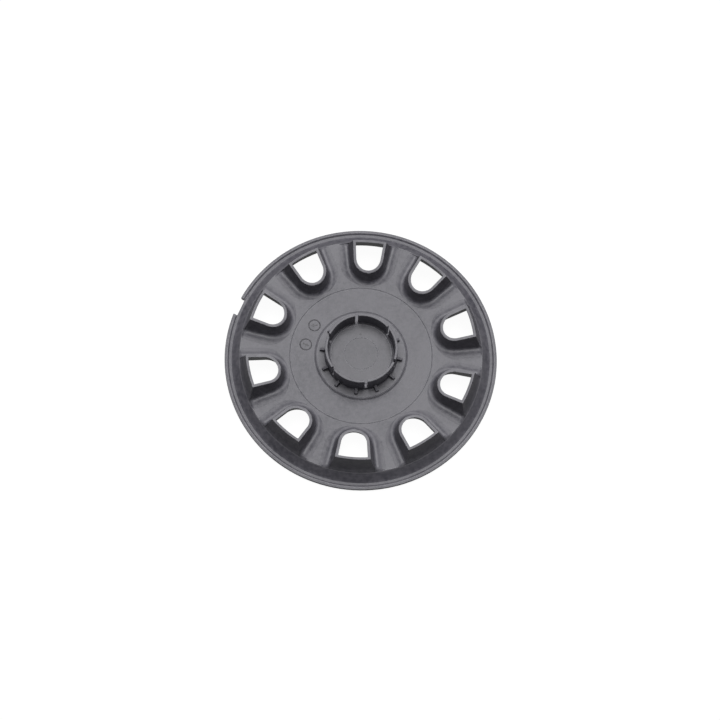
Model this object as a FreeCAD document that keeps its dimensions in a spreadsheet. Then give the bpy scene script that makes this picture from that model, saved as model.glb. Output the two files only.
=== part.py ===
import FreeCAD, Part
import math
import os

import Sketcher

# Mower wheel cover, moulded in one piece. The front face lies on z = 0 and +Z points at the wheel.
# One window is centred on +Y.

SIZES = [
    ("cover_radius", 100.0, "outer radius, over the lip"),
    ("lip_height", 4.0, "height of the lip over the front face"),
    ("lip_width", 2.4, "thickness of the lip"),
    ("lip_bevel", 0.8, "bevel of the lip's two outer edges"),
    ("wall", 2.0, "wall thickness of the moulding"),
    ("ring_width", 3.5, "flat ring between the lip and the outer wall"),
    ("ring_bevel", 0.8, "bevel in the hollow at the foot of the outer wall"),
    ("outer_wall_run", 4.9, "how far the outer wall leans in, from its foot up to the spokes' ends"),
    ("spoke_end_bevel", 1.5, "bevel of the edge at the spokes' ends"),
    ("dish_slope", 6.4, "angle of the dish, degrees"),
    ("witness_radius", 52.3, "fine groove round the hub"),
    ("witness_width", 0.8, "width of that groove"),
    ("witness_depth", 0.5, "depth of that groove"),
    ("annulus_width", 8.4, "hub annulus round the snap collar, with the groove at its foot"),
    ("annulus_height", 3.0, "hub annulus over the front face"),
    ("annulus_bevel", 0.7, "bevel of the annulus"),
    ("step_groove", 0.6, "groove at the foot of the annulus, depth and half width"),
    ("collar_bore", 24.35, "inner radius of the snap collar"),
    ("collar_wall", 1.9, "thickness of the snap collar"),
    ("collar_height", 19.8, "end of the snap collar over the front face"),
    ("collar_bevel", 0.4, "bevel of the snap collar's edges"),
    ("collar_foot_bevel", 0.6, "bevel in the hollow at the foot of the snap collar"),
    ("moat_width", 1.25, "groove between the snap collar and the floor inside it"),
    ("floor_height", 6.2, "floor inside the snap collar, over the front face"),
    ("floor_edge", 0.6, "depth of that groove"),
    ("floor_ring", 12.4, "radius of the shallow sink in the floor"),
    ("floor_sink", 0.25, "depth of that sink"),
    ("badge_radius", 22.2, "plain round recess in the front face"),
    ("slot_count", 6, "slots that part the snap collar into fingers"),
    ("slot_width", 2.2, "width of a slot"),
    ("slot_floor", 5.6, "bottom of a slot over the front face"),
    ("slot_angle", 162.0, "direction of the first slot, degrees"),
    ("gusset_count", 12, "gussets round the snap collar"),
    ("gusset_thickness", 2.0, "thickness of a gusset"),
    ("gusset_reach", 4.2, "how far a gusset stands out from the collar"),
    ("gusset_top", 4.2, "height of a gusset at the collar, over the annulus"),
    ("gusset_toe", 2.8, "height of a gusset at its outer end"),
    ("gusset_angle", 27.0, "direction of the first gusset, degrees"),
    ("window_count", 10, "windows"),
    ("window_setback", 7.3, "from the spokes' ends in to a window's outer arc, at the level below"),
    ("window_side", 10.7, "from that arc in to the centre of the window's round inner end"),
    ("window_round", 9.0, "radius of that round inner end"),
    ("window_flare", 10.4, "half angle between a window's sides, degrees"),
    ("window_level", 20.5, "height at which the window is measured"),
    ("window_draft", 11.0, "draft of a window's round end and sides, degrees"),
    ("funnel_lean", 17.6, "lean of the window wall on the rim side, degrees"),
    ("funnel_wall", 2.0, "thickness of the window wall"),
    ("rim_slope", 18.7, "slope of the ends of the window walls, degrees"),
    ("ledge_height", 1.5, "ledge beside the foot of a window wall, over the dish"),
    ("ledge_width", 2.7, "width of the top of that ledge"),
    ("ledge_side", 2.4, "run of the ledge's sloped side"),
    ("ledge_end", 2.2, "how far the ledge stands out at the hub end, where it dies away"),
    ("notch_width", 13.4, "width of the notch in the lip"),
    ("notch_depth", 3.0, "depth of the notch"),
    ("notch_angle", 162.0, "direction of the notch, degrees"),
]


class Size:
    """A length or angle that carries its number and the sheet formula that gives it."""

    def __init__(self, number, formula):
        self.number = number
        self.formula = formula

    def __add__(self, other):
        other = as_size(other)
        return Size(self.number + other.number, f"({self.formula} + {other.formula})")

    def __sub__(self, other):
        other = as_size(other)
        return Size(self.number - other.number, f"({self.formula} - {other.formula})")

    def __mul__(self, other):
        other = as_size(other)
        return Size(self.number * other.number, f"({self.formula} * {other.formula})")

    def __truediv__(self, other):
        other = as_size(other)
        return Size(self.number / other.number, f"({self.formula} / {other.formula})")


def as_size(value):
    if isinstance(value, Size):
        return value
    return Size(float(value), repr(float(value)))


def tangent(angle):
    return Size(math.tan(math.radians(angle.number)), f"tan({angle.formula} * 1deg)")


def cosine(angle):
    return Size(math.cos(math.radians(angle.number)), f"cos({angle.formula} * 1deg)")


def sine(angle):
    return Size(math.sin(math.radians(angle.number)), f"sin({angle.formula} * 1deg)")


def arc_angle(length, radius):
    """The angle, in degrees, that an arc of a length spans at a radius."""
    return length / radius * math.degrees(1)


doc = FreeCAD.newDocument("mower_wheel_cover")
sheet = doc.addObject("Spreadsheet::Sheet", "sizes")
size = {}
for row, (alias, value, note) in enumerate(SIZES, start=1):
    sheet.set(f"A{row}", note)
    sheet.set(f"B{row}", str(value))
    sheet.setAlias(f"B{row}", alias)
    size[alias] = Size(value, f"sizes.{alias}")
doc.recompute()

body = doc.addObject("PartDesign::Body", "wheel_cover")
body.Label = "wheel_cover"
origin = {feature.Role: feature for feature in body.Origin.OriginFeatures}

# Sketch helpers

X_AXIS = FreeCAD.Vector(1, 0, 0)
Y_AXIS = FreeCAD.Vector(0, 1, 0)
Z_AXIS = FreeCAD.Vector(0, 0, 1)
SKETCH_ORIGIN = (-1, 1)
HORIZONTAL = -1
VERTICAL = -2
START, END, CENTRE = 1, 2, 3
CHORD_TURN = 1.2


def new_sketch(name, plane, height=None, turn=None, turn_axis=Z_AXIS):
    """A sketch on an origin plane, lifted by height along its normal and turned by an angle."""
    sketch = body.newObject("Sketcher::SketchObject", name)
    sketch.AttachmentSupport = [(origin[plane], "")]
    sketch.MapMode = "FlatFace"
    offset = FreeCAD.Placement()
    if turn is not None:
        offset.Rotation = FreeCAD.Rotation(turn_axis, turn.number)
    sketch.AttachmentOffset = offset
    if turn is not None:
        sketch.setExpression("AttachmentOffset.Rotation.Angle", f"{turn.formula} * 1deg")
    if height is not None:
        sketch.setExpression("AttachmentOffset.Base.z", height.formula)
    return sketch


def bind(sketch, kind, *where, to):
    """A driving dimension of a sketch, bound to the sheet."""
    number = math.radians(to.number) if kind == "Angle" else to.number
    index = sketch.addConstraint(Sketcher.Constraint(kind, *where, number))
    sketch.setExpression(f"Constraints[{index}]", to.formula + (" * 1deg" if kind == "Angle" else ""))


def fix_point(sketch, geometry, end, x, y):
    """Hold a point at x, y; a plain 0 puts it on the axis."""
    for kind, value, axis in (("DistanceX", x, VERTICAL), ("DistanceY", y, HORIZONTAL)):
        if isinstance(value, Size):
            bind(sketch, kind, *SKETCH_ORIGIN, geometry, end, to=value)
        else:
            sketch.addConstraint(Sketcher.Constraint("PointOnObject", geometry, end, axis))


def vector(x, y):
    return FreeCAD.Vector(as_size(x).number, as_size(y).number, 0)


def draw_profile(sketch, corners):
    """A closed outline of straight edges through the corners (x, y)."""
    points = [vector(*corner) for corner in corners]
    edges = []
    for here, following in zip(points, points[1:] + points[:1]):
        edges.append(sketch.addGeometry(Part.LineSegment(here, following), False))
    for before, after, corner in zip(edges[-1:] + edges[:-1], edges, corners):
        sketch.addConstraint(Sketcher.Constraint("Coincident", before, END, after, START))
        fix_point(sketch, after, START, *corner)


def draw_window(sketch, centre, outer, rounding, span):
    """A window's outline: round towards the hub, two flared sides and an arc about the axis.

    Short chords carry the arc on to the sides. The arc's span and the chords' directions are the same in all
    sections, so that a loft has a true cone and flat faces there."""
    flare = size["window_flare"]
    beta = math.radians(flare.number)
    foot = FreeCAD.Vector(rounding.number * math.cos(beta), centre.number - rounding.number * math.sin(beta), 0)
    along = FreeCAD.Vector(math.sin(beta), math.cos(beta), 0)
    reach = math.radians(span.number)
    tip = FreeCAD.Vector(math.sin(reach), math.cos(reach), 0) * outer.number
    direction = as_size(180) - span * CHORD_TURN
    slant = math.radians(direction.number)
    chord = FreeCAD.Vector(math.cos(slant), math.sin(slant), 0)
    run = (tip - foot).cross(chord).z / along.cross(chord).z
    corner = foot + along * run

    def mirrored(point):
        return FreeCAD.Vector(-point.x, point.y, 0)

    def arc(middle, radius, begin, finish):
        return Part.ArcOfCircle(Part.Circle(middle, Z_AXIS, radius), begin, finish)

    pieces = [
        arc(vector(0, centre), rounding.number, math.pi + beta, 2 * math.pi - beta),
        Part.LineSegment(foot, corner),
        Part.LineSegment(corner, tip),
        arc(vector(0, 0), outer.number, math.pi / 2 - reach, math.pi / 2 + reach),
        Part.LineSegment(mirrored(tip), mirrored(corner)),
        Part.LineSegment(mirrored(corner), mirrored(foot)),
    ]
    inner, right, right_chord, rim, left_chord, left = [sketch.addGeometry(piece, False) for piece in pieces]
    for before, after in ((right, right_chord), (right_chord, rim), (rim, left_chord), (left_chord, left)):
        sketch.addConstraint(Sketcher.Constraint("Coincident", before, END, after, START))
    for before, after in ((inner, right), (left, inner)):
        sketch.addConstraint(Sketcher.Constraint("Tangent", before, END, after, START))
    sketch.addConstraint(Sketcher.Constraint("PointOnObject", inner, CENTRE, VERTICAL))
    sketch.addConstraint(Sketcher.Constraint("Coincident", rim, CENTRE, *SKETCH_ORIGIN))
    sketch.addConstraint(Sketcher.Constraint("Symmetric", right, END, left, START, VERTICAL))
    sketch.addConstraint(Sketcher.Constraint("Equal", right_chord, left_chord))
    bind(sketch, "DistanceY", *SKETCH_ORIGIN, inner, CENTRE, to=centre)
    bind(sketch, "Radius", inner, to=rounding)
    bind(sketch, "Radius", rim, to=outer)
    bind(sketch, "Angle", rim, to=span * 2)
    bind(sketch, "Angle", right, to=as_size(90) - flare)
    bind(sketch, "Angle", right_chord, to=direction)


# Feature helpers

VOLUME_STEP = 1.0
FLATNESS = 1e-5


def settle(feature, grows=None):
    """Make feature the body's tip, rebuild, and stop if it did not add or remove material as it should."""
    before = body.Shape.Volume if not body.Shape.isNull() else 0.0
    body.Tip = feature
    doc.recompute()
    change = body.Shape.Volume - before
    if grows is not None and (change if grows else -change) < VOLUME_STEP:
        raise RuntimeError(f"{feature.Name} changed the volume by {change:.2f} mm3")
    return feature


def revolve(kind, name, corners):
    sketch = new_sketch(f"{name}_profile", "XZ_Plane")
    draw_profile(sketch, corners)
    feature = body.newObject(kind, name)
    feature.Profile = sketch
    feature.ReferenceAxis = (sketch, ["V_Axis"])
    feature.Angle = 360
    return settle(feature, grows=kind.endswith("Revolution"))


def repeat(name, original, count, grows):
    pattern = body.newObject("PartDesign::PolarPattern", name)
    pattern.Originals = [original]
    pattern.Axis = (origin["Z_Axis"], [""])
    pattern.Angle = 360
    pattern.setExpression("Occurrences", count.formula)
    return settle(pattern, grows)


def loft(kind, name, sketches):
    feature = body.newObject(kind, name)
    feature.Profile = sketches[0]
    feature.Sections = sketches[1:]
    feature.Ruled = True
    return settle(feature, grows=kind.startswith("PartDesign::Additive"))


# Derived places

MARGIN = as_size(1.0)
lip_inner = size["cover_radius"] - size["lip_width"]
wall_foot = lip_inner - size["ring_width"]
spoke_end = wall_foot - size["outer_wall_run"]
window_outer = spoke_end - size["window_setback"]
window_centre = window_outer - size["window_side"]
collar_outer = size["collar_bore"] + size["collar_wall"]
hub_radius = collar_outer + size["annulus_width"]
dish_slope = tangent(size["dish_slope"])
rim_slope = tangent(size["rim_slope"])
window_draft = tangent(size["window_draft"])
funnel_lean = tangent(size["funnel_lean"])


def dish_back(radius):
    """Height of the dish's back at a radius."""
    return size["wall"] + (radius - hub_radius) * dish_slope


def dish_front(radius):
    return (radius - hub_radius) * dish_slope


def rim_level(radius):
    """Height of the sloped plane that the window walls end on."""
    return size["window_level"] + (radius - window_centre) * rim_slope


def window_growth(height):
    """How much wider a window's round end and sides are at a height than at the window's level."""
    return (size["window_level"] - height) * window_draft


def outer_growth(height):
    return (size["window_level"] - height) * funnel_lean


# Blank: the body of the cover before its outer wall is shaped

blank_radius = lip_inner - size["lip_width"] / 2
floor_radius = size["collar_bore"] - size["moat_width"]
collar_foot = size["floor_height"] - size["floor_edge"]
bore_foot = size["floor_height"] + size["collar_bevel"] / 2
badge_depth = size["floor_height"] - size["wall"] - size["floor_sink"]
groove_half = size["witness_width"] / 2
annulus_edge = hub_radius - size["step_groove"] * 2
revolve("PartDesign::Revolution", "blank", [
    (0, badge_depth),
    (size["badge_radius"], badge_depth),
    (size["badge_radius"], 0),
    (size["cover_radius"] - size["lip_bevel"], 0),
    (size["cover_radius"], size["lip_bevel"]),
    (size["cover_radius"], size["lip_height"] - size["lip_bevel"]),
    (size["cover_radius"] - size["lip_bevel"], size["lip_height"]),
    (blank_radius, size["lip_height"]),
    (blank_radius, dish_back(blank_radius)),
    (size["witness_radius"] + groove_half, dish_back(size["witness_radius"] + groove_half)),
    (size["witness_radius"], dish_back(size["witness_radius"]) - size["witness_depth"]),
    (size["witness_radius"] - groove_half, dish_back(size["witness_radius"] - groove_half)),
    (hub_radius, size["wall"]),
    (hub_radius - size["step_groove"], size["wall"] - size["step_groove"]),
    (annulus_edge, size["wall"]),
    (annulus_edge, size["annulus_height"] - size["annulus_bevel"]),
    (annulus_edge - size["annulus_bevel"], size["annulus_height"]),
    (collar_outer + size["collar_foot_bevel"], size["annulus_height"]),
    (collar_outer, size["annulus_height"] + size["collar_foot_bevel"]),
    (collar_outer, size["collar_height"] - size["collar_bevel"]),
    (collar_outer - size["collar_bevel"], size["collar_height"]),
    (size["collar_bore"] + size["collar_bevel"], size["collar_height"]),
    (size["collar_bore"], size["collar_height"] - size["collar_bevel"]),
    (size["collar_bore"], bore_foot),
    (size["collar_bore"] - size["collar_foot_bevel"], collar_foot),
    (floor_radius, collar_foot),
    (floor_radius, size["floor_height"] - size["collar_bevel"]),
    (floor_radius - size["collar_bevel"], size["floor_height"]),
    (size["floor_ring"], size["floor_height"]),
    (size["floor_ring"] - size["floor_sink"], size["floor_height"] - size["floor_sink"]),
    (0, size["floor_height"] - size["floor_sink"]),
])

# Ledges beside each window on the dish, with sloped sides. Their outlines lie parallel to the dish.

foot_level = dish_back(window_centre)
foot_round = size["window_round"] + size["funnel_wall"] + window_growth(foot_level)
ledge_reach = spoke_end + size["wall"]
LEDGE_TURNS = [Size(angle, repr(angle)) for angle in (0.0, 24.0, 48.0, 72.0)]


def ledge_section(name, rise):
    """The ledge's outline in a plane that lies a rise above the dish: straight edges round a half ellipse."""
    sketch = new_sketch(name, "XY_Plane", dish_back(as_size(0)) + rise, size["dish_slope"], X_AXIS)
    fall = as_size(1) - rise / size["ledge_height"]
    half = foot_round + size["ledge_width"] + size["ledge_side"] * fall
    end = foot_round + size["ledge_end"] * fall
    right = [(half + (ledge_reach - window_centre) * tangent(size["window_flare"]), ledge_reach)]
    for turn in LEDGE_TURNS:
        right.append((half * cosine(turn), window_centre - end * sine(turn)))
    left = [(as_size(0) - x, y) for x, y in reversed(right)]
    draw_profile(sketch, right + left)
    return sketch


ledge = loft("PartDesign::AdditiveLoft", "ledge", [
    ledge_section("ledge_base", as_size(0) - size["wall"] / 2),
    ledge_section("ledge_top", size["ledge_height"])])
repeat("ledges", ledge, size["window_count"], grows=True)

# Outer wall: everything between the spokes' ends and the lip is taken away down to the ring

wall_top = dish_back(spoke_end)
clear_height = rim_level(size["cover_radius"]) + MARGIN
wall_lean = (wall_foot - spoke_end) / (wall_top - size["wall"])
bevel_start = spoke_end - size["spoke_end_bevel"]
bevel_level = dish_back(bevel_start)
revolve("PartDesign::Groove", "outer_wall", [
    (wall_foot + size["ring_bevel"], size["wall"]),
    (lip_inner, size["wall"]),
    (lip_inner, clear_height),
    (bevel_start - (clear_height - bevel_level) * funnel_lean, clear_height),
    (bevel_start, bevel_level),
    (spoke_end + size["spoke_end_bevel"] * wall_lean, wall_top - size["spoke_end_bevel"]),
    (wall_foot - size["ring_bevel"] * wall_lean, size["wall"] + size["ring_bevel"]),
])

# Window walls: drafted funnels that rise out of the dish and end on a slope

top_level = rim_level(window_outer + size["funnel_wall"])
base_level = size["wall"] / 2


def window_section(name, height, wall):
    """A window's outline at a height, grown by a wall. Its outer arc spans the same angle at all heights."""
    top_outer = window_outer + wall + outer_growth(top_level)
    top_round = size["window_round"] + wall + window_growth(top_level)
    flare = size["window_flare"]
    half = top_round / cosine(flare) + (top_outer - window_centre) * tangent(flare)
    sketch = new_sketch(name, "XY_Plane", height)
    draw_window(
        sketch,
        window_centre,
        window_outer + wall + outer_growth(height),
        size["window_round"] + wall + window_growth(height),
        arc_angle(half - MARGIN, top_outer),
    )
    return sketch


funnel = loft("PartDesign::AdditiveLoft", "funnel", [
    window_section("funnel_base", base_level, size["funnel_wall"]),
    window_section("funnel_top", top_level, size["funnel_wall"])])
repeat("funnels", funnel, size["window_count"], grows=True)
trim_inner = hub_radius
revolve("PartDesign::Groove", "funnel_ends", [
    (trim_inner, rim_level(trim_inner)),
    (lip_inner, rim_level(lip_inner)),
    (lip_inner, clear_height + MARGIN),
    (trim_inner, clear_height + MARGIN),
])

# Front: the dish is hollow inside the flat ring

dish_edge = spoke_end - size["wall"] / 2
revolve("PartDesign::Groove", "front_dish", [
    (hub_radius, 0),
    (dish_edge, dish_front(dish_edge)),
    (wall_foot - size["wall"], 0),
])

# Windows, wider towards the front

window = loft("PartDesign::SubtractiveLoft", "window", [
    window_section("window_front", as_size(0) - MARGIN, as_size(0)),
    window_section("window_back", top_level, as_size(0))])
repeat("windows", window, size["window_count"], grows=False)

# Gussets round the snap collar

gusset_sketch = new_sketch("gusset_profile", "XZ_Plane", None, size["gusset_angle"], Y_AXIS)
gusset_root = collar_outer - size["collar_wall"] / 2
gusset_end = collar_outer + size["gusset_reach"]
gusset_foot = size["annulus_height"] - size["wall"] / 2
draw_profile(gusset_sketch, [
    (gusset_root, gusset_foot),
    (gusset_end, gusset_foot),
    (gusset_end, size["annulus_height"] + size["gusset_toe"]),
    (gusset_root, size["annulus_height"] + size["gusset_top"]),
])
gusset = body.newObject("PartDesign::Pad", "gusset")
gusset.Profile = gusset_sketch
gusset.SideType = "Symmetric"
gusset.setExpression("Length", size["gusset_thickness"].formula)
settle(gusset, grows=True)
repeat("gussets", gusset, size["gusset_count"], grows=True)

# Slots that part the snap collar into fingers

slot_sketch = new_sketch("slot_profile", "XY_Plane", size["slot_floor"], size["slot_angle"])
slot_half = size["slot_width"] / 2
slot_inner = floor_radius + size["collar_bevel"]
slot_outer = collar_outer + MARGIN
draw_profile(slot_sketch, [
    (slot_inner, as_size(0) - slot_half),
    (slot_outer, as_size(0) - slot_half),
    (slot_outer, slot_half),
    (slot_inner, slot_half),
])
slot = body.newObject("PartDesign::Pocket", "slot")
slot.Profile = slot_sketch
slot.Reversed = True
slot.setExpression("Length", size["collar_height"].formula)
settle(slot, grows=False)
repeat("slots", slot, size["slot_count"], grows=False)

# Notch in the lip

notch_sketch = new_sketch("notch_profile", "XY_Plane", None, size["notch_angle"])
notch_half = size["notch_width"] / 2
draw_profile(notch_sketch, [
    (size["cover_radius"] - size["notch_depth"], as_size(0) - notch_half),
    (size["cover_radius"] + MARGIN, as_size(0) - notch_half),
    (size["cover_radius"] + MARGIN, notch_half),
    (size["cover_radius"] - size["notch_depth"], notch_half),
])
notch = body.newObject("PartDesign::Pocket", "notch")
notch.Profile = notch_sketch
notch.Reversed = True
notch.setExpression("Length", (size["lip_height"] + MARGIN).formula)
settle(notch, grows=False)

# Check and write


def with_true_planes(solid):
    """The same solid, with the flat faces that the lofts left as splines turned into planes."""
    faces = []
    for face in solid.Faces:
        plane = face.findPlane(FLATNESS) if isinstance(face.Surface, Part.BSplineSurface) else None
        if plane is not None:
            flat = Part.Face(plane, face.OuterWire)
            middle = face.CenterOfMass
            outward = face.normalAt(*face.Surface.parameter(middle))
            if outward.dot(flat.normalAt(*flat.Surface.parameter(middle))) < 0:
                flat.reverse()
            face = flat
        faces.append(face)
    return Part.Solid(Part.Shell(faces))


for item in doc.Objects:
    if {"Invalid", "Error"} & set(item.State):
        raise RuntimeError(f"{item.Name} failed: {item.State}")
if body.Shape.isNull() or not body.Shape.isValid() or len(body.Shape.Solids) != 1:
    raise RuntimeError("the cover is not one valid solid")
shape = with_true_planes(body.Shape.Solids[0])
if not shape.isValid() or abs(shape.Volume - body.Shape.Volume) > VOLUME_STEP:
    raise RuntimeError("the cover changed when its flat faces were turned into planes")
os.makedirs("parts", exist_ok=True)
shape.exportStep(f"parts/{body.Label}.step")
print(f"{body.Label}: volume {shape.Volume / 1000:.1f} cm3, box {shape.BoundBox}, faces {len(shape.Faces)}")
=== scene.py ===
# %% [markdown]
# # Mower wheel cover
# The cover is one injection moulding in grey polypropylene. It lies on its front face, so that the camera
# looks into its back: a lip round the edge, ten funnel-shaped windows, a shallow dish and a slotted collar.
# The CAD model gives the shape, and this script writes again only the sizes that it builds on. It adds the
# finish of a moulding: rounded edges, soft ridges, a fine grain, the marks that the mould leaves and the
# light of a plain studio.

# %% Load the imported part
import math

import bmesh
import bpy
from mathutils import Matrix, Vector


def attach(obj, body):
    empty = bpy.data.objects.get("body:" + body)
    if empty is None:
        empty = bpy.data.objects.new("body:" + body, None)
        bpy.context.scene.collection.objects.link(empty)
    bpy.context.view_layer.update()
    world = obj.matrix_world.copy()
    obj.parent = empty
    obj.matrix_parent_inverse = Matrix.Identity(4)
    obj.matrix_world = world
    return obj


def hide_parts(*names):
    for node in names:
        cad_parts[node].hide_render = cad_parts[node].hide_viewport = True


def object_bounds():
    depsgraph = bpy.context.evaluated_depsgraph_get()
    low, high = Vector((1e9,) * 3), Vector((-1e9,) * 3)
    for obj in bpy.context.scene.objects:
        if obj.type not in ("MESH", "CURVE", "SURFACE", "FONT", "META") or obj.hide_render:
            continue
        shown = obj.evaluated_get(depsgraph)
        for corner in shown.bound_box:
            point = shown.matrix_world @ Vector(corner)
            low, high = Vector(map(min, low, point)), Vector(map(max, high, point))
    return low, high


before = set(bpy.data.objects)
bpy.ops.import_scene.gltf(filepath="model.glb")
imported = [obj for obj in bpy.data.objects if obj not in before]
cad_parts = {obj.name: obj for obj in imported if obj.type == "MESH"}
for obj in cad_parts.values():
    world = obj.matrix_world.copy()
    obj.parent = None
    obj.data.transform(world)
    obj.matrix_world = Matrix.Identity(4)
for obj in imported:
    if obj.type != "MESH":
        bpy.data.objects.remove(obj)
cad_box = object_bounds()
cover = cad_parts["wheel_cover"]
scene = bpy.context.scene
scene.view_settings.view_transform = "Standard"
print("cover:", len(cover.data.polygons), "faces")
print("CAD box:", [tuple(round(x, 4) for x in corner) for corner in cad_box])

# %% [markdown]
# ## Camera
# The cover's round outline shows as an ellipse, so its shape gives the angle of view, and the way that the
# far windows shrink gives the distance, about 0.7 m. A longer lens would flatten the picture. The camera
# looks down steeply from the side opposite the window on the +Y axis. A Track To constraint could aim it,
# but the picture is also rolled by a few degrees, so the camera's matrix is set directly.

# %% Place the camera
MM_PER_M = 1000
IMAGE_PIXELS = 720
SENSOR_MM = 36.0
PIXEL_MM = 0.7367                       # size of a pixel at the cover
VIEW_PIXELS = 946.0                     # distance from the lens to the cover, in pixels
ELEVATION = math.radians(71.887)
AZIMUTH = math.radians(0.794)
ROLL = math.radians(3.633)
AIM = Vector((0.0, 0.0, 0.002))
AIM_PIXEL = (361.0, 355.25)             # where that point lies in the picture

camera_data = bpy.data.cameras.new("camera")
camera_data.sensor_width = SENSOR_MM
camera_data.lens = SENSOR_MM * VIEW_PIXELS / IMAGE_PIXELS
camera_data.shift_x = (IMAGE_PIXELS / 2 - AIM_PIXEL[0]) / IMAGE_PIXELS
camera_data.shift_y = (AIM_PIXEL[1] - IMAGE_PIXELS / 2) / IMAGE_PIXELS
camera = bpy.data.objects.new("camera", camera_data)
scene.collection.objects.link(camera)
back = Vector((math.sin(AZIMUTH) * math.cos(ELEVATION), -math.cos(AZIMUTH) * math.cos(ELEVATION),
               math.sin(ELEVATION)))
distance = VIEW_PIXELS * PIXEL_MM / MM_PER_M
turned = (-back).to_track_quat("-Z", "Y").to_matrix() @ Matrix.Rotation(ROLL, 3, "Z")
camera.matrix_world = Matrix.Translation(AIM + back * distance) @ turned.to_4x4()
scene.camera = camera
print(f"camera: {distance:.3f} m away, lens {camera_data.lens:.1f} mm")

# %% [markdown]
# ## Colours and nodes
# Colours are written as the hex values that a colour picker shows. Blender shades with linear light, so one
# function converts them. A second small function adds a shader node with its settings and links.

# %% Helpers for materials


def linear(hex_colour):
    """The linear RGBA of an sRGB hex colour."""
    channels = [int(hex_colour[i:i + 2], 16) / 255 for i in (1, 3, 5)]
    return [c / 12.92 if c <= 0.04045 else ((c + 0.055) / 1.055) ** 2.4 for c in channels] + [1.0]


def add_node(tree, kind, inputs=(), **settings):
    """Adds a node; inputs maps a socket's name or number to a value or to another node's output socket."""
    node = tree.nodes.new(kind)
    for name, value in settings.items():
        setattr(node, name, value)
    for socket, value in dict(inputs).items():
        if isinstance(value, bpy.types.NodeSocket):
            tree.links.new(value, node.inputs[socket])
        else:
            node.inputs[socket].default_value = value
    return node


print("mid grey in linear light:", [round(c, 3) for c in linear("#808080")[:3]])

# %% [markdown]
# ## Floor
# The cover lies on white paper. More light could make the paper white, but it would fall on the grey plastic
# as well. So the paper shows as white to the camera through Is Camera Ray, and reflections on the plastic
# see a part of that white through Is Glossy Ray. A share of the paper's real shading is kept, so that a soft
# shadow still ties the cover to it.

# %% White paper floor
PAPER_SHADE = 0.4                       # share of the real shading that the paper keeps
PAPER_GLOW = 1.6                        # glow of the rest, which brings lit paper up to white
PAPER_MIRROR = 0.22                     # share of the glow that reflections on the plastic see
PAPER_SIZE, PAPER_GAP = 6.0, 0.0002     # in m; the gap keeps the paper clear of the cover

paper = bpy.data.materials.new("white_paper")
paper.use_nodes = True
tree = paper.node_tree
tree.nodes.clear()
path = add_node(tree, "ShaderNodeLightPath")
seen = add_node(tree, "ShaderNodeMath", {
    0: path.outputs["Is Glossy Ray"], 1: PAPER_MIRROR, 2: path.outputs["Is Camera Ray"]},
    operation="MULTIPLY_ADD")
share = add_node(tree, "ShaderNodeMath", {0: seen.outputs[0], 1: 1.0 - PAPER_SHADE}, operation="MULTIPLY")
diffuse = add_node(tree, "ShaderNodeBsdfDiffuse", {"Color": linear("#8a8a8a")})
white = add_node(tree, "ShaderNodeEmission", {"Color": linear("#ffffff"), "Strength": PAPER_GLOW})
mixed = add_node(tree, "ShaderNodeMixShader", {
    0: share.outputs[0], 1: diffuse.outputs[0], 2: white.outputs[0]})
add_node(tree, "ShaderNodeOutputMaterial", {"Surface": mixed.outputs[0]})

bpy.ops.mesh.primitive_plane_add(size=PAPER_SIZE, location=(0, 0, cad_box[0].z - PAPER_GAP))
floor = bpy.context.object
floor.name = "paper_floor"
floor.data.materials.append(paper)
print("paper:", PAPER_SIZE, "m wide,", len(tree.nodes), "nodes")

# %% [markdown]
# ## Light
# One large soft light hangs over the far side of the cover, so that walls which face the camera fall into
# shade and every edge throws a soft shadow. Several lamps could fill those shadows. Here a dim world does it,
# because one lamp keeps the shading easy to read. The camera sees the world as white.

# %% Studio light
AMBIENT = 0.075
KEY_PLACE = Vector((0.0, 0.36, 1.15))   # in m
KEY_SIZE, KEY_WATTS = 0.9, 13.2

world = bpy.data.worlds.new("studio")
scene.world = world
world.use_nodes = True
tree = world.node_tree
tree.nodes.clear()
path = add_node(tree, "ShaderNodeLightPath")
ambient = add_node(tree, "ShaderNodeBackground", {"Color": linear("#f4f6fa"), "Strength": AMBIENT})
shown = add_node(tree, "ShaderNodeBackground", {"Color": linear("#ffffff"), "Strength": 1.0})
sky = add_node(tree, "ShaderNodeMixShader", {
    0: path.outputs["Is Camera Ray"], 1: ambient.outputs[0], 2: shown.outputs[0]})
add_node(tree, "ShaderNodeOutputWorld", {"Surface": sky.outputs[0]})

lamp = bpy.data.lights.new("key_softbox", "AREA")
lamp.size = KEY_SIZE
lamp.energy = KEY_WATTS
softbox = bpy.data.objects.new("key_softbox", lamp)
softbox.location = KEY_PLACE
softbox.rotation_mode = "QUATERNION"
softbox.rotation_quaternion = (-KEY_PLACE).to_track_quat("-Z", "Y")
scene.collection.objects.link(softbox)

# %% [markdown]
# ## Moulded polypropylene
# Grey polypropylene comes out of a spark-eroded mould with a fine, even grain, so it looks satin: broad soft
# highlights and no mirror image. Its IOR is 1.49. The melt leaves pale and dark flow clouds about 30 mm
# across, the surface is mottled in spots of about 3 mm, and a few long scuffs cross it. Edges that stand out
# get a painted highlight, which is partly edge wear, and hollows, walls and marks get painted shade: a face
# attribute, made further down, says where. An image could carry all this, but noise patterns need no
# unwrapping. The grain is about 0.3 mm on the real part, which is less than half a pixel here, so it is drawn
# at 0.8 mm.

# %% Patterns of the plastic
SCUFF_TURN, SCUFF_STRETCH = math.radians(34.0), 22.0
PATTERNS = {                            # size of a spot in mm, detail
    "flow": (30.0, 3.0),
    "mottle": (3.2, 4.0),
    "wear": (9.0, 3.0),
    "shade_patches": (6.0, 2.0),
    "scuff": (24.0, 2.0),
    "grain": (0.8, 2.0),                # 0.3 mm on the real part
    "waves": (5.0, 2.0),
}

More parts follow.
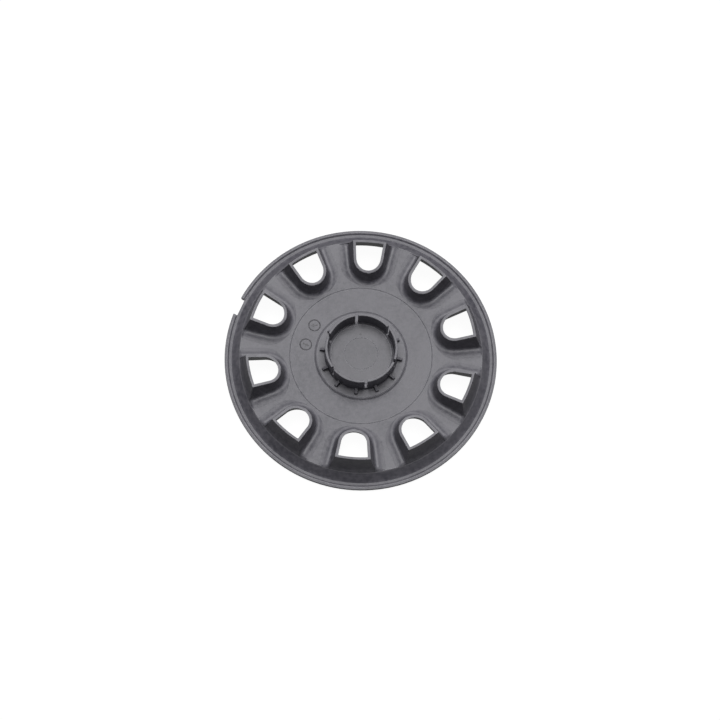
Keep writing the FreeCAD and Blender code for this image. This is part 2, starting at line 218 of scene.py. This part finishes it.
plastic = bpy.data.materials.new("moulded_grey_polypropylene")
plastic.use_nodes = True
tree = plastic.node_tree
tree.nodes.clear()
place = add_node(tree, "ShaderNodeTexCoord").outputs["Object"]
stretched = add_node(tree, "ShaderNodeMapping", {
    "Vector": place, "Rotation": (0.0, 0.0, SCUFF_TURN),
    "Scale": (1.0, SCUFF_STRETCH, 1.0)}).outputs["Vector"]
values = {"painted_light_and_wear": add_node(tree, "ShaderNodeAttribute", attribute_name="painted_light_and_wear").outputs["Fac"]}
for name, (size_mm, detail) in PATTERNS.items():
    values[name] = add_node(tree, "ShaderNodeTexNoise", {
        "Vector": stretched if name == "scuff" else place,
        "Scale": MM_PER_M / size_mm, "Detail": detail}).outputs["Fac"]
print("patterns:", ", ".join(values))

# %% [markdown]
# A noise pattern lies around 0.5. Each share below stretches a part of its pattern over the range in which a
# layer of colour is laid on. The painted highlight and the painted shade are broken up by a noise of their
# own.

# %% Shares of each layer
SHARES = {                              # pattern, its low and high value, share there
    "clouds": ("flow", 0.35, 0.65, 0.0, 1.0),
    "spots": ("mottle", 0.38, 0.62, 0.0, 0.7),
    "scuffs": ("scuff", 0.66, 0.76, 0.0, 0.3),
    "highlight_mask": ("painted_light_and_wear", 0.0, 1.0, 0.0, 0.62),
    "wear": ("wear", 0.3, 0.7, 0.55, 1.0),
    "shade_mask": ("painted_light_and_wear", 0.0, -1.0, 0.0, 0.8),
    "shade_patches": ("shade_patches", 0.3, 0.7, 0.4, 1.0),
    "gloss": ("mottle", 0.25, 0.75, 0.38, 0.47),
}
RANGE_SOCKETS = ("From Min", "From Max", "To Min", "To Max")
shares = {}
for name, (pattern, *limits) in SHARES.items():
    shares[name] = add_node(tree, "ShaderNodeMapRange", {
        "Value": values[pattern], **dict(zip(RANGE_SOCKETS, limits))}).outputs["Result"]
for name, first, second in (("highlight_and_wear", "highlight_mask", "wear"), ("painted_shade", "shade_mask", "shade_patches")):
    shares[name] = add_node(tree, "ShaderNodeMath", {
        0: shares[first], 1: shares[second]}, operation="MULTIPLY").outputs[0]
print("shares:", ", ".join(shares))

# %% [markdown]
# The layers are mixed one over the other, from the base colour to the painted shade. Two bumps give the grain
# and the slow waves of the shrunken surface. Displaced geometry could show them too, but at such small depths
# it would cost far more faces than it is worth.

# %% Colour, grain and gloss
BASE = "#54535b"
# The pale layer is a painted highlight on edges, partly edge wear, and the near-black last layer is painted
# shade.
LAYERS = {"clouds": "#65646b", "spots": "#75737a", "scuffs": "#86868d", "highlight_and_wear": "#a3a2a7",
          "painted_shade": "#232224"}
BUMP_STRENGTH = 0.5
GRAIN_DEPTH, WAVE_DEPTH = 0.00012, 0.00030      # in m
PLASTIC_IOR = 1.49

colour = linear(BASE)
for name, hex_colour in LAYERS.items():
    colour = add_node(tree, "ShaderNodeMix", {
        "Factor": shares[name], "A": colour, "B": linear(hex_colour)}, data_type="RGBA").outputs["Result"]
grain = add_node(tree, "ShaderNodeBump", {
    "Height": values["grain"], "Strength": BUMP_STRENGTH, "Distance": GRAIN_DEPTH})
waves = add_node(tree, "ShaderNodeBump", {
    "Height": values["waves"], "Strength": BUMP_STRENGTH, "Distance": WAVE_DEPTH,
    "Normal": grain.outputs["Normal"]})
shader = add_node(tree, "ShaderNodeBsdfPrincipled", {
    "Base Color": colour, "Roughness": shares["gloss"], "IOR": PLASTIC_IOR,
    "Normal": waves.outputs["Normal"]})
add_node(tree, "ShaderNodeOutputMaterial", {"Surface": shader.outputs[0]})
print("plastic nodes:", len(tree.nodes))

# %% [markdown]
# ## The moulding
# The CAD model's faces meet in crisp edges, but plastic shrinks round its corners and a mould is cut with
# round tools, so no edge of the real cover is sharp. The visual piece starts as a copy of the CAD mesh: the
# points of neighbouring faces are merged and flat faces are joined. A remesh could round it, but it would
# blur the thin slots and grooves.

# %% Copy the cover's mesh
MERGE = 2e-6                            # points that lie this near, in m, become one
FLAT = math.radians(0.3)                # faces that meet this flat are joined

moulding = bpy.data.objects.new("cover_moulding", cover.data.copy())
scene.collection.objects.link(moulding)
mesh = bmesh.new()
mesh.from_mesh(moulding.data)
bmesh.ops.remove_doubles(mesh, verts=mesh.verts, dist=MERGE)
bmesh.ops.dissolve_limit(mesh, angle_limit=FLAT, verts=mesh.verts, edges=mesh.edges)
print("copy:", len(mesh.verts), "points,", len(mesh.faces), "faces")

# %% [markdown]
# The copy leaves out the outsides of the window walls and the ledges at their feet, which are built again
# below with soft hollows. Some rings of points move a little: the spokes end in a tighter edge, and the lip's
# inside leans. Moving points keeps the notch and the faces beside them whole, which new rings would not.

# %% Sizes of the CAD model
# Lengths are in mm. A window wall's outside is measured at LEVEL: the centre and radius of its round end and
# the radius of its outer arc.
WINDOWS = 10
CENTRE, ROUND, OUTER, LEVEL = 71.2, 11.0, 83.9, 20.5
FLARE, DRAFT, LEAN, SLOPE, DISH = (math.radians(a) for a in (10.4, 11.0, 17.6, 18.7, 6.4))
HUB_RADIUS, HUB_LEVEL = 34.65, 2.0      # where the dish starts to rise


def polar_mm(point):
    """Radius and height of a point, in mm."""
    return MM_PER_M * math.hypot(point.x, point.y), MM_PER_M * point.z


def dish_level(radius):
    """Height of the dish at a radius."""
    return HUB_LEVEL + (radius - HUB_RADIUS) * math.tan(DISH)


def rim_level(radius):
    """Height of the cone that the window walls end on, at a radius."""
    return LEVEL + (radius - CENTRE) * math.tan(SLOPE)


print("dish:", HUB_LEVEL, "mm high at the hub,", round(dish_level(OUTER), 2), "mm at the windows' outer arcs")

# %% Leave out the wall outsides
WALLS_FROM, WALLS_TO = 53.0, 88.6       # radii between which the window walls and ledges stand
OVER_DISH, RIM_REACH = 0.06, 0.25       # room left to the dish and to the ends of the walls
LEAST_UP = 0.02                         # outsides face upwards a little, insides downwards

outsides = []
for face in mesh.faces:
    radius, height = polar_mm(face.calc_center_median())
    beside_wall = WALLS_FROM < radius < WALLS_TO and face.normal.z > LEAST_UP
    if beside_wall and dish_level(radius) + OVER_DISH < height < rim_level(radius) - RIM_REACH:
        outsides.append(face)
bmesh.ops.delete(mesh, geom=outsides, context="FACES")
print("faces left out:", len(outsides), "of", len(outsides) + len(mesh.faces))

# %% Move rings of points
SPOKE_END = (88.5, 8.04)                # radius and height of the edge at the spokes' ends
RINGS = [                               # radius and height in the CAD model, and here
    ((87.7, 7.95), SPOKE_END),
    ((90.40, 6.62), (89.2, 7.3)),
    ((97.6, 2.0), (97.0, 2.7)),         # foot of the lip's inside
    ((97.6, 4.0), (97.9, 4.0)),         # top of the lip's inside
    ((99.2, 4.0), (99.6, 4.0)),         # outer edge of the lip
    ((100.0, 3.2), (100.0, 3.6)),
]
RING_REACH = 0.06                       # a point this near to a ring belongs to it

moved = 0
for vertex in mesh.verts:
    radius, height = polar_mm(vertex.co)
    for (old_radius, old_height), (new_radius, new_height) in RINGS:
        if abs(radius - old_radius) < RING_REACH and abs(height - old_height) < RING_REACH:
            scale = new_radius / radius
            vertex.co = (vertex.co.x * scale, vertex.co.y * scale, new_height / MM_PER_M)
            moved += 1
            break
print("points moved:", moved)

# %% [markdown]
# ## Rounded edges
# Each edge gets a rounding: a bevel of 0.4 mm where two faces meet steeply, half of that where they meet less
# steeply and none where they are nearly flat. A bevel shader could fake it, but then the exported mesh would
# stay sharp. The bevel's strips take the second material slot for a moment, which tells them apart from the
# faces they join.

# %% Round the edges
ROUNDING = 0.0004                       # in m
STEEP, GENTLE = 58, 26                  # degrees between faces that get the whole rounding and half of it

weight = mesh.edges.layers.float.new("bevel_weight_edge")
for edge in mesh.edges:
    turn = math.degrees(edge.calc_face_angle(0.0))
    edge[weight] = 1.0 if turn > STEEP else 0.5 if turn > GENTLE else 0.0
mesh.to_mesh(moulding.data)
mesh.free()
moulding.data.materials.clear()
moulding.data.materials.append(plastic)
moulding.data.materials.append(plastic)
bevel = moulding.modifiers.new("rounding", "BEVEL")
bevel.limit_method = "WEIGHT"
bevel.width = ROUNDING
bevel.segments = 2
bevel.material = 1
bevel.use_clamp_overlap = False
depsgraph = bpy.context.evaluated_depsgraph_get()
rounded = bpy.data.meshes.new_from_object(moulding.evaluated_get(depsgraph))
moulding.modifiers.clear()
moulding.data = rounded
print("rounded faces:", len(rounded.polygons))

# %% [markdown]
# A strip that bulges gets a painted highlight, partly edge wear, and one that is hollow gets painted shade. A
# face attribute keeps this for the material: above 0 is painted highlight, below 0 is painted shade. The ends
# of the window walls and some narrow faces get a painted highlight as well, and the floor inside the collar
# gets painted shade. Each is found by its radii and heights, which is quicker than painting and follows the
# CAD model.

# %% Painted highlights and painted shade on faces
# painted shade in the hollow strips of the bevels
CREASE_PAINTED_SHADE = -0.4
END_FROM, END_TO = 58, 85               # radii between which the ends of the window walls lie
PAINTED_LIGHT_RINGS = {                              # inner and outer radius, low and high level; above 0 a painted highlight, below 0 painted shade
    (0.0, 22.6, 5.9, 6.3): -0.3,        # floor inside the collar, painted shade
    (22.6, 23.2, 5.7, 6.3): 1.0,        # edge of that floor, painted highlight
    (32.7, 33.5, 2.2, 3.1): 1.0,        # edge of the hub, painted highlight
    (24.3, 26.3, 19.3, 20.0): 0.7,      # end of the collar, painted highlight
    (88.3, 89.4, 7.2, 8.2): 0.6,        # ends of the spokes, painted highlight
    (97.5, 100.0, 3.5, 4.1): 0.3,       # top of the lip, painted highlight
}
LEAST_UP_PAINTED = 0.1                   # only faces that look up get these values

mesh = bmesh.new()
mesh.from_mesh(rounded)
painted_light_and_wear = mesh.faces.layers.float.new("painted_light_and_wear")
# Bevel strips over a convex edge get a painted highlight, those in a crease painted shade.
for face in mesh.faces:
    if face.material_index == 1:
        turn = sum(edge.calc_face_angle_signed(0.0) for edge in face.edges)
        face[painted_light_and_wear] = 1.0 if turn > 0 else CREASE_PAINTED_SHADE
        face.material_index = 0
for face in mesh.faces:
    radius, height = polar_mm(face.calc_center_median())
    if face[painted_light_and_wear] == 0.0 and face.normal.z > LEAST_UP_PAINTED:
        # The rounded ends of the window walls get a painted highlight.
        if END_FROM < radius < END_TO and abs(height - rim_level(radius)) < RIM_REACH:
            face[painted_light_and_wear] = 1.0
        for (inner, outer, low, high), value in PAINTED_LIGHT_RINGS.items():
            if inner < radius < outer and low < height < high:
                face[painted_light_and_wear] = value
print("rubbed faces:", sum(face[painted_light_and_wear] > 0 for face in mesh.faces), "of", len(mesh.faces))

# %% [markdown]
# ## Window walls
# A window wall is a drafted funnel: its outline grows towards the front and its end lies on a cone. A wide
# bevel at its foot would cross its neighbours, so the outside is built as a skin. The outline is a ring of
# stations, each with a point and an outward direction: half of the round end, a side, a corner and half of
# the outer arc, and then the same mirrored.

# %% Stations round a window
WALL_CORNER = 0.5                       # radius of the corner between a side and the outer arc
ARC_STEPS, SIDE_STEPS, CORNER_STEPS, OUTER_STEPS = 28, 14, 6, 12


def run_to(radius, point, along):
    """How far a point travels in a direction until it reaches a radius."""
    ahead = point.dot(along)
    return math.sqrt(radius ** 2 - point.length_squared + ahead ** 2) - ahead


def wall_stations(height):
    """Points (x, y) and outward directions round the outside of a window wall at a height, in mm."""
    rounding = ROUND + (LEVEL - height) * math.tan(DRAFT)
    outer = OUTER + (LEVEL - height) * math.tan(LEAN)
    side = Vector((math.cos(FLARE), -math.sin(FLARE)))
    along = Vector((math.sin(FLARE), math.cos(FLARE)))
    start = Vector((0.0, CENTRE)) + side * (rounding - WALL_CORNER)
    run = run_to(outer - WALL_CORNER, start, along)
    corner = start + along * run
    top = math.atan2(corner.x, corner.y)
    right = []
    for k in range(ARC_STEPS // 2):
        turn = (math.pi / 2 - FLARE) * k / (ARC_STEPS // 2)
        out = Vector((math.sin(turn), -math.cos(turn)))
        right.append((Vector((0.0, CENTRE)) + out * rounding, out))
    for k in range(SIDE_STEPS):
        right.append((start + side * WALL_CORNER + along * run * k / SIDE_STEPS, side))
    for k in range(CORNER_STEPS):
        turn = -FLARE + (math.pi / 2 - top + FLARE) * k / CORNER_STEPS
        out = Vector((math.cos(turn), math.sin(turn)))
        right.append((corner + out * WALL_CORNER, out))
    for k in range(OUTER_STEPS // 2):
        turn = top * (1 - k / (OUTER_STEPS // 2))
        out = Vector((math.sin(turn), math.cos(turn)))
        right.append((out * outer, out))
    middle = Vector((0.0, 1.0))
    left = [(Vector((-p.x, p.y)), Vector((-o.x, o.y))) for p, o in reversed(right[1:])]
    return right + [(middle * outer, middle)] + left


print("stations round a window:", len(wall_stations(LEVEL)))

# %% [markdown]
# The end of a wall rises outwards with the cone, and the outline itself changes with the height. So the
# height of each station's end is found in a few rounds: each takes the outline at the last height and reads
# the cone at that radius.

# %% Heights of a wall's end
END_ROUNDS = 8

tops = []
for i in range(len(wall_stations(LEVEL))):
    height = LEVEL
    for _ in range(END_ROUNDS):
        height = rim_level(wall_stations(height)[i][0].length)
    tops.append(height)
print("wall ends from", round(min(tops), 2), "to", round(max(tops), 2), "mm")

# %% [markdown]
# A skin is a grid of faces between rows of points. The first rows turn over the rounded end of the wall, and
# the rest go down to the dish. The lowest row dips a little under the dish, so that no gap shows, and on the
# rim side it joins the edge at the spokes' ends. The rounded ends get a painted highlight, and the walls below
# them painted shade.

# %% Wall skins
RIM_ROUNDING = 0.45
RIM_ROWS, WALL_ROWS = 4, 6
RIM_LIFT, FOOT_DEPTH = 0.01, 0.2        # how far the skin lies over the wall's end and under the dish
# painted highlight over the rounded end, then painted shade down the wall
WALL_PAINTED_LIGHT = [1.0, 1.0, 1.0, -0.4, -0.35, -0.25, -0.1, 0.0, 0.1]


def add_skin(rows, painted_light_values, turn, closed):
    """Faces between rows of points (x, y, z) in mm, turned about the axis; one value per strip: above 0 a
    painted highlight, below 0 painted shade.
    """
    spin = Matrix.Rotation(turn, 3, "Z")
    grid = [[mesh.verts.new(spin @ Vector(point) / MM_PER_M) for point in row] for row in rows]
    for upper, lower, value in zip(grid, grid[1:], painted_light_values):
        pairs = list(zip(upper, lower))
        for (a, b), (c, d) in zip(pairs, pairs[1:] + pairs[:1] if closed else pairs[1:]):
            mesh.faces.new((a, b, d, c))[painted_light_and_wear] = value


rows = []
for k in range(RIM_ROWS):
    quarter = math.pi / 2 * k / (RIM_ROWS - 1)
    fall = RIM_ROUNDING * (1 - math.cos(quarter))
    row = []
    for i, top in enumerate(tops):
        point, out = wall_stations(top)[i]
        point = point - out * RIM_ROUNDING * (1 - math.sin(quarter))
        row.append((point.x, point.y, rim_level(point.length) + RIM_LIFT - fall))
    rows.append(row)
for k in range(1, WALL_ROWS + 1):
    row = []
    for i, top in enumerate(tops):
        foot = dish_level(wall_stations(top)[i][0].length) - FOOT_DEPTH
        height = top - RIM_ROUNDING + (foot - top + RIM_ROUNDING) * k / WALL_ROWS
        point, out = wall_stations(height)[i]
        if k == WALL_ROWS and out.y > 0.0:
            point = point * SPOKE_END[0] / point.length
            height = SPOKE_END[1]
        row.append((point.x, point.y, height))
    rows.append(row)
for n in range(WINDOWS):
    add_skin(rows, WALL_PAINTED_LIGHT, 2 * math.pi * n / WINDOWS, True)
print("wall skin:", len(rows), "rows of", len(tops), "points")

# %% [markdown]
# ## Ridges
# A ridge runs beside each window wall, from one end of a spoke round the hub side to the end of the next. It
# leaves the wall's foot in a wide hollow, rounds over and dies away on the spoke, and it fades at the hub. A
# curve with a bevel profile could sweep one form, but here the form changes on the way, so each point mixes
# two profiles: one for the sides and a shorter one for the hub.

# %% Profiles of a ridge
# Each pair is the way out from the wall's foot and the rise over the dish, in mm.
SIDE = [(-1.2, 5.2), (-0.62, 3.4), (-0.42, 2.5), (-0.05, 1.85), (0.4, 1.5), (0.9, 1.33), (1.45, 1.26),
        (1.95, 1.2), (2.4, 1.08), (2.85, 0.9), (3.35, 0.7), (4.0, 0.5), (4.8, 0.33), (5.8, 0.18),
        (6.9, 0.06), (7.9, -0.12)]
HUB = [(-1.2, 5.2), (-0.62, 3.4), (-0.25, 2.3), (0.2, 1.5), (0.75, 0.92), (1.25, 0.56), (1.75, 0.32),
       (2.25, 0.15), (2.65, 0.07), (3.0, 0.03), (3.3, 0.0), (3.45, -0.03), (3.55, -0.06), (3.65, -0.09),
       (3.7, -0.12), (3.8, -0.15)]
# painted shade in the hollow at the wall's foot, painted highlight over the crest
RIDGE_PAINTED_LIGHT = [-0.3, -0.3, -0.2, -0.1, 0.1, 0.3, 0.45, 0.5, 0.4, 0.2, 0.05, 0, 0, 0, 0]
SIDE_TURN = math.pi / 2 - FLARE         # direction of a side's outward normal, from the hub

ridge_stations = []                     # how far along the side, and which way out
for k in range(SIDE_STEPS + 1):
    ridge_stations.append((1 - k / SIDE_STEPS, SIDE_TURN))
for k in range(1, ARC_STEPS):
    ridge_stations.append((0.0, SIDE_TURN * (1 - 2 * k / ARC_STEPS)))
for k in range(SIDE_STEPS + 1):
    ridge_stations.append((k / SIDE_STEPS, -SIDE_TURN))
print("ridge stations:", len(ridge_stations))

# %% Ridges
WALL_RUN = 4                            # how far the wall's foot stands out past its outer arc
END_INSIDE = 0.1                        # a ridge ends this far inside the wall's plane
CAP_OUT, CAP_DOWN = 0.12, 0.11          # its cap laps over the edge at the spokes' ends


def ridge_point(k, far, turn):
    """Point k of a ridge's profile, a mix of the profiles at the side and at the hub."""
    out = Vector((math.sin(turn), -math.cos(turn)))
    along = Vector((math.copysign(math.sin(FLARE), turn), math.cos(FLARE)))
    hub_share = (math.cos(turn) ** 2 - math.sin(FLARE) ** 2) / math.cos(FLARE) ** 2
    reach, rise = Vector(SIDE[k]).lerp(Vector(HUB[k]), hub_share)
    foot = ROUND + (LEVEL - dish_level(CENTRE)) * math.tan(DRAFT)
    point = Vector((0.0, CENTRE)) + out * (foot + reach)
    end = OUTER + (LEVEL - dish_level(OUTER + WALL_RUN) - rise) * math.tan(LEAN) - END_INSIDE
    point = point + along * run_to(end, point, along) * far
    return point.x, point.y, dish_level(point.length) + rise


rows = []
for k in range(len(SIDE)):
    row = [ridge_point(k, far, turn) for far, turn in ridge_stations]
    for at, end in ((0, 0), (len(row), -1)):
        x, y, _ = row[end]
        scale = (SPOKE_END[0] + CAP_OUT) / math.hypot(x, y)
        row.insert(at, (x * scale, y * scale, SPOKE_END[1] - CAP_DOWN))
    rows.append(row)
for n in range(WINDOWS):
    add_skin(rows, RIDGE_PAINTED_LIGHT, 2 * math.pi * n / WINDOWS, False)
print("ridge:", len(rows), "rows of", len(rows[0]), "points")

# %% [markdown]
# ## Marks of the mould
# Two round inserts in the mould leave date dials on the dish: a ring about 9 mm across with an arrow. They
# stand 0.2 mm proud, and painted shade darkens them. A small arrow also stands on the floor of the collar,
# with the same painted shade. Where the mould's parts meet, a low bead with a painted highlight runs round the
# floor and round the hub. A bump pattern could show all of them, but as geometry they also catch the light
# from the side.

# %% Helpers for raised marks
SUNK = 0.05                             # depth of a mark's foot under the face that it stands on
MARK_TOP = 0.93                         # size of a mark's top beside its foot
LEAST_STEPS, STEPS_PER_MM = 40, 8       # steps round a ring, by its radius


def add_mark(outline, frame_of_mark, rise):
    """A raised flat mark with a leaning border, from its outline (x, y) in mm."""
    middle = sum((Vector(p) for p in outline), Vector((0.0, 0.0))) / len(outline)
    top = [middle + (Vector(p) - middle) * MARK_TOP for p in outline]
    low = [mesh.verts.new(frame_of_mark @ Vector((*p, -SUNK)) / MM_PER_M) for p in outline]
    high = [mesh.verts.new(frame_of_mark @ Vector((*p, rise)) / MM_PER_M) for p in top]
    faces = [mesh.faces.new(high)]
    for (a, b), (c, d) in zip(zip(low, high), zip(low[1:] + low[:1], high[1:] + high[:1])):
        faces.append(mesh.faces.new((a, c, d, b)))
    # the whole mark gets painted shade
    for face in faces:
        face[painted_light_and_wear] = -1.0


def add_ring(frame_of_mark, radius, width, rise, value):
    """A raised ring with leaning sides; value gives its painted light: above 0 a painted highlight, below 0
    painted shade.
    """
    steps = max(LEAST_STEPS, int(radius * STEPS_PER_MM))
    section = [(radius - width / 2, -SUNK), (radius - width / 5, rise), (radius + width / 5, rise),
               (radius + width / 2, -SUNK)]
    turns = [2 * math.pi * k / steps for k in range(steps)]
    rings = []
    for r, z in section:
        points = [Vector((r * math.cos(t), r * math.sin(t), z)) for t in turns]
        rings.append([mesh.verts.new(frame_of_mark @ point / MM_PER_M) for point in points])
    for inner, outer in zip(rings, rings[1:]):
        for k in range(steps):
            after = (k + 1) % steps
            mesh.faces.new((inner[k], outer[k], outer[after], inner[after]))[painted_light_and_wear] = value


print("marks are sunk by", SUNK, "mm, and their tops are", MARK_TOP, "of their feet")

# %% Date dials, beads and floor arrow
DIAL_RADIUS, DIAL_WIDTH, DIAL_RISE = 4.2, 1.0, 0.2
DIAL_PLACE = 41.5                       # distance of the dials from the axis
DIALS = ((150.75, -50.0), (173.25, 75.0))       # degrees round the axis, and turn of the arrow
ARROW = [(-0.45, -2.3), (0.45, -2.3), (0.45, 0.3), (1.5, 0.3), (0.0, 2.6), (-1.5, 0.3), (-0.45, 0.3)]
FLOOR_LEVEL, ANNULUS_LEVEL = 6.2, 3.0
BEADS = ((FLOOR_LEVEL, 22.3, 0.9, 0.2, 1.0),    # level, radius, width, rise, strength of painted highlight
         (ANNULUS_LEVEL, 32.3, 0.8, 0.12, 0.8))
FLOOR_ARROW = [(-0.9, -0.7), (0.9, -0.7), (0.0, 1.0)]
FLOOR_ARROW_PLACE, FLOOR_ARROW_RISE = (-1.5, 15.2, FLOOR_LEVEL), 0.2

for degrees, points_to in DIALS:
    at = (Matrix.Rotation(math.radians(degrees), 4, "Z")
          @ Matrix.Translation((DIAL_PLACE, 0.0, dish_level(DIAL_PLACE)))
          @ Matrix.Rotation(-DISH, 4, "Y") @ Matrix.Rotation(math.radians(points_to), 4, "Z"))
    # the dial's ring gets painted shade
    add_ring(at, DIAL_RADIUS, DIAL_WIDTH, DIAL_RISE, -1.0)
    add_mark(ARROW, at, DIAL_RISE)
for level, *sizes in BEADS:
    add_ring(Matrix.Translation((0.0, 0.0, level)), *sizes)
add_mark(FLOOR_ARROW, Matrix.Translation(FLOOR_ARROW_PLACE), FLOOR_ARROW_RISE)
bmesh.ops.recalc_face_normals(mesh, faces=mesh.faces)
print("with marks:", len(mesh.faces), "faces")

# %% [markdown]
# ## Smooth shading
# The skins and bevels are made of flat faces. Smooth shading hides their joints, and edges over 40 degrees
# stay sharp. Weighted normals let large faces lead, so that the narrow strips of the bevels carry the curve
# and the flat faces look flat. The piece then takes the place of the CAD model's cover.

# %% Finish the piece
SHARP = math.radians(40)

mesh.to_mesh(rounded)
mesh.free()
rounded.materials.pop()
rounded.shade_smooth()
rounded.set_sharp_from_angle(angle=SHARP)
smooth = moulding.modifiers.new("even_normals", "WEIGHTED_NORMAL")
smooth.keep_sharp = True
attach(moulding, "root")
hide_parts("wheel_cover")
print("moulding:", len(rounded.polygons), "faces")
